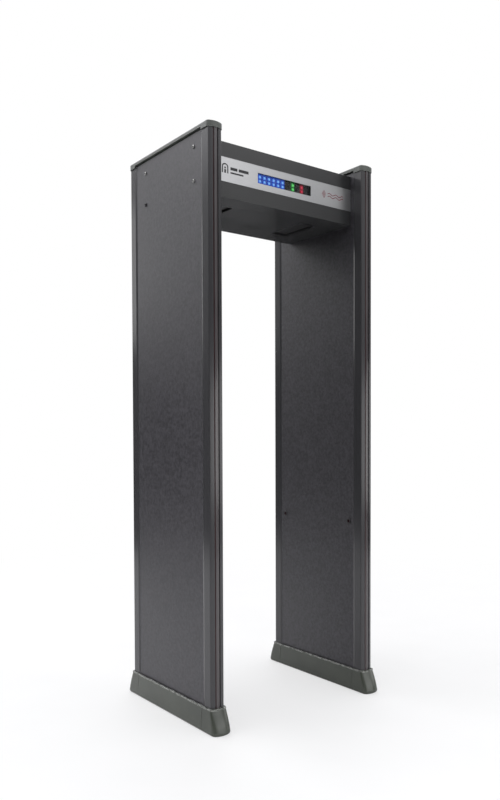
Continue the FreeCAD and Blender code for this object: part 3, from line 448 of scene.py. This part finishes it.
def make_materials():
    """One material for each of the record's slots."""
    steel = (0.34, 0.34, 0.35)
    zinc = (0.52, 0.52, 0.50)
    return {
        "foot_plastic": foot_moulding(),
        "cap_plastic": moulded("cap_plastic_satin", dark=(0.066, 0.072, 0.064),
                               light=(0.083, 0.090, 0.080), rough_low=0.28, rough_high=0.36),
        "post_plastic": satin_extrusion(),
        "zone_lens": smoked_lens(),
        "circuit_board": board_mask("circuit_green", base=(0.02, 0.11, 0.05), trace=(0.06, 0.22, 0.10)),
        "board_vinyl": pebbled_board(),
        "frame_wood": timber("frame_pine"),
        "coil_copper": winding("coil_winding"),
        "black_plastic": moulded("black_plastic_moulded", dark=(0.012, 0.012, 0.013),
                                 light=(0.02, 0.02, 0.021), rough_low=0.38, rough_high=0.5,
                                 edge=(0.05, 0.05, 0.05)),
        "photocell_lens": dark_gloss("photocell_infrared", level=0.012, roughness=0.06,
                                     tint=(1.6, 0.4, 0.6)),
        "bolt_bright": polished("bolt_plated", dark=(0.24, 0.24, 0.24), light=(0.36, 0.36, 0.35),
                                roughness=0.34),
        "bolt_black": brushed("bolt_oxide", dark=(0.02, 0.02, 0.022), light=(0.035, 0.035, 0.037),
                              rough_low=0.35, rough_high=0.5, grain=(700.0, 700.0, 700.0), metal=0.6),
        "connector_metal": polished("connector_plated", dark=(0.5, 0.5, 0.52), light=(0.66, 0.66, 0.68),
                                    roughness=0.25),
        "bracket_steel": brushed("bracket_zinc", dark=tuple(c * 0.85 for c in zinc), light=zinc,
                                 rough_low=0.32, rough_high=0.45, grain=(30.0, 30.0, 30.0)),
        "header_paint": enamel("header_enamel", level=0.027, rough_low=0.19, rough_high=0.25, peel=0.03),
        "hatch_plastic": moulded("hatch_plastic_matte", dark=(0.011, 0.011, 0.012),
                                 light=(0.017, 0.017, 0.018), rough_low=0.42, rough_high=0.5,
                                 edge=(0.02, 0.02, 0.02)),
        "fascia_silver": fascia_foil(),
        "window_gloss": window_pane(),
        "light_blue": lit_cell("cell_blue", core=(0.24, 0.55, 1.0), rim=(0.03, 0.16, 0.75),
                               strength=1.35),
        "light_green": lit_cell("cell_green", core=(0.20, 1.0, 0.24), rim=(0.01, 0.40, 0.04),
                                strength=1.1),
        "light_red": lit_cell("cell_red", core=(0.80, 0.04, 0.10), rim=(0.45, 0.01, 0.03), strength=1.0),
        "light_unlit": dark_gloss("cell_unlit", level=0.045, roughness=0.25),
        "film_blue": lit_cell("film_blue", core=(0.02, 0.12, 0.75), rim=(0.003, 0.025, 0.22),
                              strength=1.0),
        "film_green": lit_cell("film_green", core=(0.01, 0.30, 0.04), rim=(0.001, 0.03, 0.006),
                               strength=1.0),
        "film_red": lit_cell("film_red", core=(0.35, 0.008, 0.03), rim=(0.04, 0.001, 0.004),
                             strength=1.0),
        "film_dark": dark_gloss("film_black", level=0.006, roughness=0.3),
        "mark_black": printed("ink_black", (0.012, 0.012, 0.014)),
        "mark_red": printed("ink_red", (0.13, 0.012, 0.022)),
        "mark_white": printed("ink_white", (0.55, 0.55, 0.54)),
        "tray_paint": enamel("tray_enamel", level=0.045, rough_low=0.4, rough_high=0.5),
        "supply_case": brushed("supply_aluminium", dark=(0.45, 0.45, 0.46), light=(0.58, 0.58, 0.59),
                               rough_low=0.35, rough_high=0.45, grain=(40.0, 900.0, 900.0)),
        "rocker_plastic": moulded("rocker_plastic_gloss", dark=(0.012, 0.012, 0.012),
                                  light=(0.02, 0.02, 0.02), rough_low=0.2, rough_high=0.28,
                                  edge=(0.05, 0.05, 0.05)),
        "hinge_steel": brushed("hinge_satin", dark=tuple(c * 0.8 for c in steel), light=steel,
                               rough_low=0.32, rough_high=0.42, grain=(900.0, 900.0, 30.0)),
        "door_paint": enamel("door_enamel", level=0.042, rough_low=0.26, rough_high=0.33),
        "lock_chrome": polished("lock_chromed", dark=(0.60, 0.60, 0.61), light=(0.76, 0.76, 0.77),
                                roughness=0.08),
        "key_rubber": moulded("key_rubber_soft", dark=(0.10, 0.10, 0.105), light=(0.13, 0.13, 0.135),
                              rough_low=0.6, rough_high=0.72, grain=1500.0, edge=(0.18, 0.18, 0.18)),
    }


def paint_cad(materials):
    """Gives each CAD node its slot's material."""
    for part in frame["record"]["subparts"]:
        data_slots = nodes[part["node"]].material_slots
        for data_slot in data_slots:
            data_slot.material = materials[part["material_slot"]]


# ---------------------------------------------------------------- meshes

def new_piece(name, mesh, material, body=GATE, smooth=True):
    """Object from a bmesh, painted and riding on a body."""
    data = bpy.data.meshes.new(name)
    bmesh.ops.recalc_face_normals(mesh, faces=mesh.faces)
    mesh.to_mesh(data)
    mesh.free()
    data.materials.append(material)
    for polygon in data.polygons:
        polygon.use_smooth = smooth
    piece = bpy.data.objects.new(name, data)
    bpy.context.scene.collection.objects.link(piece)
    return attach(piece, body)


# ---------------------------------------------------------------- display

def domed_cells(name, slot, node):
    """Rounded square diffusers with a low dome, one over each light of a CAD node."""
    low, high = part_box(node)
    mesh = bmesh.new()
    glow = mesh.verts.layers.float.new("glow")
    for centre, half_w, half_h in light_places(node):
        add_dome(mesh, glow, centre, half_w, half_h, high.y - low.y)
    piece = new_piece(name, mesh, materials[slot])
    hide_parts(node)


def light_places(node):
    """Middle of the front face and half sizes of each separate solid of a node."""
    source = bmesh.new()
    source.from_mesh(nodes[node].data)
    bmesh.ops.remove_doubles(source, verts=source.verts, dist=1e-6)
    places = []
    left = set(source.verts)
    while left:
        island = {left.pop()}
        border = list(island)
        while border:
            for edge in border.pop().link_edges:
                for vertex in edge.verts:
                    if vertex in left:
                        left.discard(vertex)
                        island.add(vertex)
                        border.append(vertex)
        xs = [v.co.x for v in island]
        zs = [v.co.z for v in island]
        front = min(v.co.y for v in island)
        centre = Vector(((min(xs) + max(xs)) / 2, front, (min(zs) + max(zs)) / 2))
        places.append((centre, (max(xs) - min(xs)) / 2, (max(zs) - min(zs)) / 2))
    source.free()
    return sorted(places, key=lambda place: (place[0].x, place[0].z))


def add_dome(mesh, glow, centre, half_w, half_h, depth):
    """Rounded square with a domed front, its walls and its back."""
    dome = DOME_DEPTH_SHARE * depth
    loops = []
    for ring in range(DOME_RINGS + 1):
        share = ring / DOME_RINGS
        power = DOME_CORNER * share + (1 - share)
        loop = []
        for side in range(DOME_SIDES):
            angle = 2 * math.pi * side / DOME_SIDES
            x = math.copysign(abs(math.cos(angle)) ** power, math.cos(angle)) * share
            z = math.copysign(abs(math.sin(angle)) ** power, math.sin(angle)) * share
            y = centre.y + dome * share ** DOME_CURVE
            if ring == 0 and side > 0:
                loop.append(loop[0])
                continue
            vertex = mesh.verts.new((centre.x + half_w * x, y, centre.z + half_h * z))
            vertex[glow] = 1 - share ** CELL_GLOW_FALL
            loop.append(vertex)
        loops.append(loop)
    back = [mesh.verts.new((v.co.x, centre.y + depth, v.co.z)) for v in loops[-1]]
    for vertex in back:
        vertex[glow] = 0.0
    loops.append(back)
    for inner, outer in zip(loops, loops[1:]):
        for i in range(DOME_SIDES):
            j = (i + 1) % DOME_SIDES
            corners = [inner[i], outer[i], outer[j], inner[j]]
            unique = list(dict.fromkeys(corners))
            if len(unique) >= 3:
                mesh.faces.new(unique)
    mesh.faces.new(back)


def glow_film(name, x_low, x_high, z_low, z_high, lights, slot):
    """Thin film between the lights, brightest next to them."""
    mesh = bmesh.new()
    glow = mesh.verts.layers.float.new("glow")
    board_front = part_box("display_lights_blue")[1].y
    front = board_front - FILM_THICKNESS
    back = board_front - FILM_BACK_GAP
    grid = []
    for i in range(FILM_COLUMNS + 1):
        line = []
        for k in range(FILM_ROWS + 1):
            x = x_low + (x_high - x_low) * i / FILM_COLUMNS
            z = z_low + (z_high - z_low) * k / FILM_ROWS
            nearest = min((math.hypot(x - c.x, z - c.z) for c in lights), default=1.0)
            pair = [mesh.verts.new((x, front, z)), mesh.verts.new((x, back, z))]
            for vertex in pair:
                vertex[glow] = math.exp(-(nearest / FILM_GLOW_REACH) ** 2)
            line.append(pair)
        grid.append(line)
    for i in range(FILM_COLUMNS):
        for k in range(FILM_ROWS):
            for side in (0, 1):
                mesh.faces.new([grid[i][k][side], grid[i + 1][k][side], grid[i + 1][k + 1][side],
                                grid[i][k + 1][side]])
    rim = [line[0] for line in grid] + grid[-1][1:]
    rim += [line[-1] for line in grid[-2::-1]] + grid[0][-2:0:-1]
    for here, there in zip(rim, rim[1:] + rim[:1]):
        mesh.faces.new([here[0], there[0], there[1], here[1]])
    new_piece(name, mesh, materials[slot])


def display_films():
    """Films behind the window: one block of blue, a green and a red column, and black between."""
    low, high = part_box("display_window")
    z_low, z_high = low.z + FILM_MARGIN, high.z - FILM_MARGIN
    blue = [place[0] for place in light_places("display_lights_blue")]
    green = [place[0] for place in light_places("display_lights_green")]
    red = [place[0] for place in light_places("display_lights_red")]
    blue_end = blue[-1].x + BLUE_BORDER
    green_low, green_high = green[0].x - COLUMN_HALF, green[0].x + COLUMN_HALF
    red_low, red_high = red[0].x - COLUMN_HALF, red[0].x + COLUMN_HALF
    glow_film("blue_film", low.x + FILM_MARGIN, blue_end, z_low, z_high, blue, "film_blue")
    glow_film("green_film", green_low, green_high, z_low, z_high, green, "film_green")
    glow_film("red_film", red_low, red_high, z_low, z_high, red, "film_red")
    spans = ((blue_end + FILM_GAP, green_low - FILM_GAP), (green_high + FILM_GAP, red_low - FILM_GAP),
             (red_high + FILM_GAP, high.x - FILM_MARGIN))
    for index, (start, end) in enumerate(spans, 1):
        glow_film(f"dark_film_{index}", start, end, z_low, z_high, [], "film_dark")


# ---------------------------------------------------------------- printed marks

def stroke(points, width, closed=False):
    """Ribbon of quads along a line of (x, z) points."""
    sides = []
    count = len(points)
    for i, here in enumerate(points):
        before = points[i - 1] if i or closed else here
        after = points[(i + 1) % count] if i < count - 1 or closed else here
        across = Vector((after[1] - before[1], before[0] - after[0])).normalized() * width / 2
        sides.append(((here[0] - across.x, here[1] - across.y), (here[0] + across.x, here[1] + across.y)))
    pairs = zip(sides, sides[1:] + sides[:1] if closed else sides[1:])
    return [[a[0], a[1], b[1], b[0]] for a, b in pairs]


def bar(x_low, x_high, z_low, z_high):
    return [[(x_low, z_low), (x_high, z_low), (x_high, z_high), (x_low, z_high)]]


def arc(x, z, radius_x, radius_z, start, end, steps=28):
    """Points of an arc, with its angles in degrees from +X towards +Z."""
    turns = [math.radians(start + (end - start) * i / steps) for i in range(steps + 1)]
    return [(x + radius_x * math.cos(turn), z + radius_z * math.sin(turn)) for turn in turns]


def printed_mark(name, node, shapes, slot, body=GATE, front=True):
    """Ink laid on the front or the rear face of a CAD node. Shapes are polygons in x and z millimetres."""
    tree = BVHTree.FromObject(nodes[node], bpy.context.evaluated_depsgraph_get())
    place = nodes[node].matrix_world
    back = place.inverted()
    outward = -1 if front else 1
    start = outward * RAY_START
    mesh = bmesh.new()
    for polygon in shapes:
        tops, feet = [], []
        for x, z in polygon:
            origin = back @ Vector((x * MM, start, z * MM))
            toward = back.to_3x3() @ Vector((0.0, -outward, 0.0))
            hit = place @ tree.ray_cast(origin, toward)[0]
            tops.append(mesh.verts.new(hit + Vector((0.0, outward * INK_THICKNESS, 0.0))))
            feet.append(mesh.verts.new(hit))
        mesh.faces.new(tops)
        mesh.faces.new(feet)
        count = len(tops)
        for i in range(count):
            j = (i + 1) % count
            mesh.faces.new([tops[i], tops[j], feet[j], feet[i]])
    return new_piece(name, mesh, materials[slot], body, smooth=False)


def ring(x, z, radius, width, steps):
    """Closed round line."""
    return stroke(arc(x, z, radius, radius, 0, 360, steps)[:-1], width, closed=True)


def arch_mark():
    """Arch with a standing figure in it, and three bars beside it. Millimetres, as on the strip."""
    left, right, foot, spring = -300, -276, 2083, 2106
    middle = (left + right) / 2
    crown = arc(middle, spring, radius_x=right - middle, radius_z=11, start=180, end=0, steps=16)
    shapes = stroke([(left, foot), (left, spring)] + crown + [(right, foot)], width=5.0)
    shapes += ring(middle, spring - 3, radius=2.2, width=3.6, steps=16)
    shapes += bar(middle - 4, middle + 4, foot, foot + 14)
    bars_left, upper_row, lower_row = -264, (2098, 2109), (2085, 2091)
    shapes += bar(bars_left, bars_left + 32, *upper_row)
    shapes += bar(bars_left + 38, bars_left + 84, *upper_row)
    shapes += bar(bars_left, bars_left + 60, *lower_row)
    return shapes


def wave_mark():
    """Four widening arcs and two wavy lines. Millimetres, as on the strip."""
    source_x, source_z = 190, 2098
    arc_step, arc_reach, arc_count = 5.0, 52, 4
    shapes = []
    for step in range(arc_count):
        radius = arc_step + arc_step * step
        shapes += stroke(arc(source_x, source_z, radius, radius, -arc_reach, arc_reach, 14), width=2.4)
    line_start, pitch, points = 224, 2.2, 40
    swing, slowness = 3.4, 2.6
    for height in (2091.0, 2102.0):
        line = [(line_start + pitch * i, height + swing * math.sin(i / slowness)) for i in range(points)]
        shapes += stroke(line, width=3.0)
    return shapes


def fascia_marks():
    """Plain walk-through arch with bars on the left, and plain signal waves on the right."""
    printed_mark("left_fascia_mark", "fascia_strip", arch_mark(), "mark_black")
    printed_mark("right_fascia_mark", "fascia_strip", wave_mark(), "mark_red")


def middle_of(node):
    """Middle of a node's face in x and z millimetres."""
    low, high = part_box(node)
    return (low.x + high.x) / 2 / MM, (low.z + high.z) / 2 / MM


def key_marks():
    """A plain symbol on each key in the bay, read from the rear."""
    half_width, base, tip = 3.6, 2.4, 3.6
    radius, line = 3.2, 1.1
    x, z = middle_of("key_up")
    arrow = [[(x - half_width, z - base), (x + half_width, z - base), (x, z + tip)]]
    printed_mark("key_up_arrow", "key_up", arrow, "mark_white", "key_up", front=False)
    x, z = middle_of("key_down")
    arrow = [[(x - half_width, z + base), (x + half_width, z + base), (x, z - tip)]]
    printed_mark("key_down_arrow", "key_down", arrow, "mark_white", "key_down", front=False)
    x, z = middle_of("key_set")
    printed_mark("key_set_ring", "key_set", ring(x, z, radius, line, steps=28), "mark_white", "key_set",
                 front=False)
    x, z = middle_of("key_reset")
    turn = stroke(arc(x, z, radius, radius, start=-60, end=210, steps=24), line)
    turn += [[(x - 5.0, z - 0.4), (x - 0.6, z - 1.4), (x - 3.4, z - 4.2)]]
    printed_mark("key_reset_turn", "key_reset", turn, "mark_white", "key_reset", front=False)


def rocker_marks():
    """Bar and ring of the power switch."""
    x, z = middle_of("power_rocker")
    on_bar = bar(x - 0.5, x + 0.5, z + 3.6, z + 7.2)
    off_ring = ring(x, z - 5.4, radius=1.8, width=0.8, steps=20)
    printed_mark("rocker_on_bar", "power_rocker", on_bar, "mark_white", "power_rocker", front=False)
    printed_mark("rocker_off_ring", "power_rocker", off_ring, "mark_white", "power_rocker", front=False)


# ---------------------------------------------------------------- small fixings

def screw_heads(name, places, radius, material):
    """Domed heads facing the rear, each with a hexagon socket."""
    mesh = bmesh.new()
    outline = [(*point, False) for point in HEAD_OUTLINE] + [(*point, True) for point in SOCKET_OUTLINE]
    for place in places:
        loops = []
        for share, rise, hexagonal in outline:
            loop = []
            for i in range(HEAD_SIDES):
                turn = 2 * math.pi * i / HEAD_SIDES
                reach = radius * share
                if hexagonal:
                    reach *= math.cos(math.pi / 6) / math.cos((turn % (math.pi / 3)) - math.pi / 6)
                loop.append(mesh.verts.new((place[0] + reach * math.cos(turn), place[1] + radius * rise,
                                            place[2] + reach * math.sin(turn))))
            loops.append(loop)
        for inner, outer in zip(loops, loops[1:]):
            for i in range(HEAD_SIDES):
                j = (i + 1) % HEAD_SIDES
                mesh.faces.new([inner[i], inner[j], outer[j], outer[i]])
        mesh.faces.new(loops[0])
        mesh.faces.new(loops[-1])
    new_piece(name, mesh, material, smooth=False)


def rear_screws():
    """Screws of the fixed hinge leaf and of the mains inlet."""
    low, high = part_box("hinge_fixed_leaf")
    heights = [low.z + (high.z - low.z) * share for share in LEAF_SCREW_SHARES]
    leaf_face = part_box("header_rear_shell")[1].y + LEAF_THICKNESS
    places = [(low.x + LEAF_SCREW_INSET, leaf_face, z) for z in heights]
    screw_heads("hinge_leaf_screws", places, LEAF_SCREW_RADIUS, materials["hinge_steel"])
    low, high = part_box("power_inlet")
    middle = (low.z + high.z) / 2
    places = [(x, high.y, middle) for x in (low.x + INLET_SCREW_INSET, high.x - INLET_SCREW_INSET)]
    screw_heads("inlet_screws", places, INLET_SCREW_RADIUS, materials["bolt_black"])


# ---------------------------------------------------------------- camera, light and floor

def place_camera():
    """Camera at the photograph's viewing angle."""
    yaw = math.radians(CAMERA_YAW)
    pitch = math.radians(CAMERA_PITCH)
    roll = math.radians(CAMERA_ROLL)
    forward = Vector((-math.sin(yaw) * math.cos(pitch), math.cos(yaw) * math.cos(pitch), math.sin(pitch)))
    level = Vector((math.cos(yaw), math.sin(yaw), 0.0))
    upright = level.cross(forward)
    right = level * math.cos(roll) + upright * math.sin(roll)
    up = upright * math.cos(roll) - level * math.sin(roll)
    turn = Matrix((right, up, -forward)).transposed().to_4x4()
    data = bpy.data.cameras.new("camera")
    data.sensor_width = SENSOR_WIDTH
    data.lens = LENS
    data.shift_x, data.shift_y = LENS_SHIFT
    data.clip_end = CLIP_END
    camera = bpy.data.objects.new("camera", data)
    camera.matrix_world = Matrix.Translation(CAMERA_PLACE) @ turn
    bpy.context.scene.collection.objects.link(camera)
    bpy.context.scene.camera = camera


def soft_light(name, place, target, size, power):
    """Rectangular lamp at a place, aimed at a target and hidden from the camera."""
    data = bpy.data.lights.new(name, "AREA")
    data.shape = "RECTANGLE"
    data.size, data.size_y = size
    data.energy = power
    light = bpy.data.objects.new(name, data)
    light.location = place
    light.rotation_euler = (Vector(place) - Vector(target)).to_track_quat("Z", "Y").to_euler()
    light.visible_camera = False
    bpy.context.scene.collection.objects.link(light)


def studio_world():
    """White behind the object, and round it a room with a bright band above eye level, dim at eye level."""
    world = bpy.data.worlds.new("studio")
    world.use_nodes = True
    bpy.context.scene.world = world
    tree = world.node_tree
    tree.nodes.clear()
    output = tree.nodes.new("ShaderNodeOutputWorld")
    mix = tree.nodes.new("ShaderNodeMixShader")
    seen = tree.nodes.new("ShaderNodeLightPath")
    white = tree.nodes.new("ShaderNodeBackground")
    white.inputs["Color"].default_value = (1.0, 1.0, 1.0, 1.0)
    room = tree.nodes.new("ShaderNodeBackground")
    place = tree.nodes.new("ShaderNodeTexCoord")
    split = tree.nodes.new("ShaderNodeSeparateXYZ")
    height = tree.nodes.new("ShaderNodeMapRange")
    height.inputs["From Min"].default_value = -1.0
    height.inputs["From Max"].default_value = 1.0
    ramp = tree.nodes.new("ShaderNodeValToRGB")
    elements = ramp.color_ramp.elements
    while len(elements) < len(ROOM_LIGHT):
        elements.new(0.5)
    for element, (degrees, level) in zip(elements, ROOM_LIGHT):
        element.position = (math.sin(math.radians(degrees)) + 1) / 2
        element.color = (level, level, level * COOL_CAST, 1.0)
    side = tree.nodes.new("ShaderNodeVectorMath")
    side.operation = "DOT_PRODUCT"
    side.inputs[1].default_value = BRIGHT_SIDE
    share = tree.nodes.new("ShaderNodeMapRange")
    share.inputs["From Min"].default_value = -1.0
    share.inputs["From Max"].default_value = 1.0
    share.inputs["To Min"].default_value = DIM_SIDE_SHARE
    share.inputs["To Max"].default_value = 1.0
    tree.links.new(place.outputs["Generated"], split.inputs[0])
    tree.links.new(place.outputs["Generated"], side.inputs[0])
    tree.links.new(side.outputs["Value"], share.inputs["Value"])
    tree.links.new(share.outputs["Result"], room.inputs["Strength"])
    tree.links.new(split.outputs["Z"], height.inputs["Value"])
    tree.links.new(height.outputs["Result"], ramp.inputs["Fac"])
    tree.links.new(ramp.outputs["Color"], room.inputs["Color"])
    tree.links.new(seen.outputs["Is Camera Ray"], mix.inputs["Fac"])
    tree.links.new(room.outputs[0], mix.inputs[1])
    tree.links.new(white.outputs[0], mix.inputs[2])
    tree.links.new(mix.outputs[0], output.inputs["Surface"])


def pale_floor():
    """Round pale floor that fades to white away from the gate."""
    mesh = bmesh.new()
    bmesh.ops.create_circle(mesh, cap_ends=True, segments=96, radius=FLOOR_RADIUS)
    data = bpy.data.meshes.new("floor")
    mesh.to_mesh(data)
    mesh.free()
    f = Finish("floor_white")
    away = f.add("ShaderNodeVectorMath", OPERATION="LENGTH", _0=f.place).outputs["Value"]
    seen = f.add("ShaderNodeLightPath").outputs["Is Camera Ray"]
    fade = f.math("MULTIPLY", seen, f.spread(away, FLOOR_GLOW, high=1.0, start=FLOOR_FADE_START,
                                             stop=FLOOR_FADE_END))
    cloud = f.noise(3.0, detail=2.0)
    f.surface(Base_Color=f.tint(f.spread(cloud), (0.83, 0.83, 0.83), (0.86, 0.86, 0.86)),
              Roughness=f.spread(cloud, low=0.5, high=0.6))
    white = f.add("ShaderNodeEmission", Color=(1.0, 1.0, 1.0, 1.0), Strength=1.0)
    mixed = f.add("ShaderNodeMixShader", Fac=fade, _1=f.shader.outputs[0], _2=white.outputs[0])
    f.tree.links.new(mixed.outputs[0], f.tree.nodes["Material Output"].inputs["Surface"])
    data.materials.append(f.material)
    floor = bpy.data.objects.new("floor", data)
    bpy.context.scene.collection.objects.link(floor)


def light_scene():
    """Sets the plain colour view, and makes the world, the floor and the lamps."""
    view = bpy.context.scene.view_settings
    view.view_transform = "Standard"
    view.look = "None"
    studio_world()
    pale_floor()
    soft_light("key_light", place=(-3.2, 1.5, 5.0), target=(0.0, 0.0, 1.0), size=(4.0, 4.0), power=60.0)
    soft_light("fill_light", place=(1.5, -4.5, 3.5), target=(0.0, 0.0, 1.2), size=(3.5, 3.0), power=20.0)
    soft_light("front_light", place=(1.2, -4.5, 1.05), target=(0.0, 0.0, 1.0), size=(5.4, 1.2),
               power=52.0)
    soft_light("rear_light", place=(-2.4, 6.0, 3.0), target=(0.0, 0.0, 1.6), size=(2.2, 1.6), power=20.0)
    soft_light("side_light", place=(4.2, -2.0, 1.1), target=(0.0, 0.0, 1.0), size=(1.8, 1.4), power=16.0)


# ---------------------------------------------------------------- build

materials = make_materials()
paint_cad(materials)
for shade in ("blue", "green", "red", "unlit"):
    domed_cells(f"{shade}_light_domes", f"light_{shade}", f"display_lights_{shade}")
display_films()
fascia_marks()
key_marks()
rocker_marks()
rear_screws()
place_camera()
light_scene()
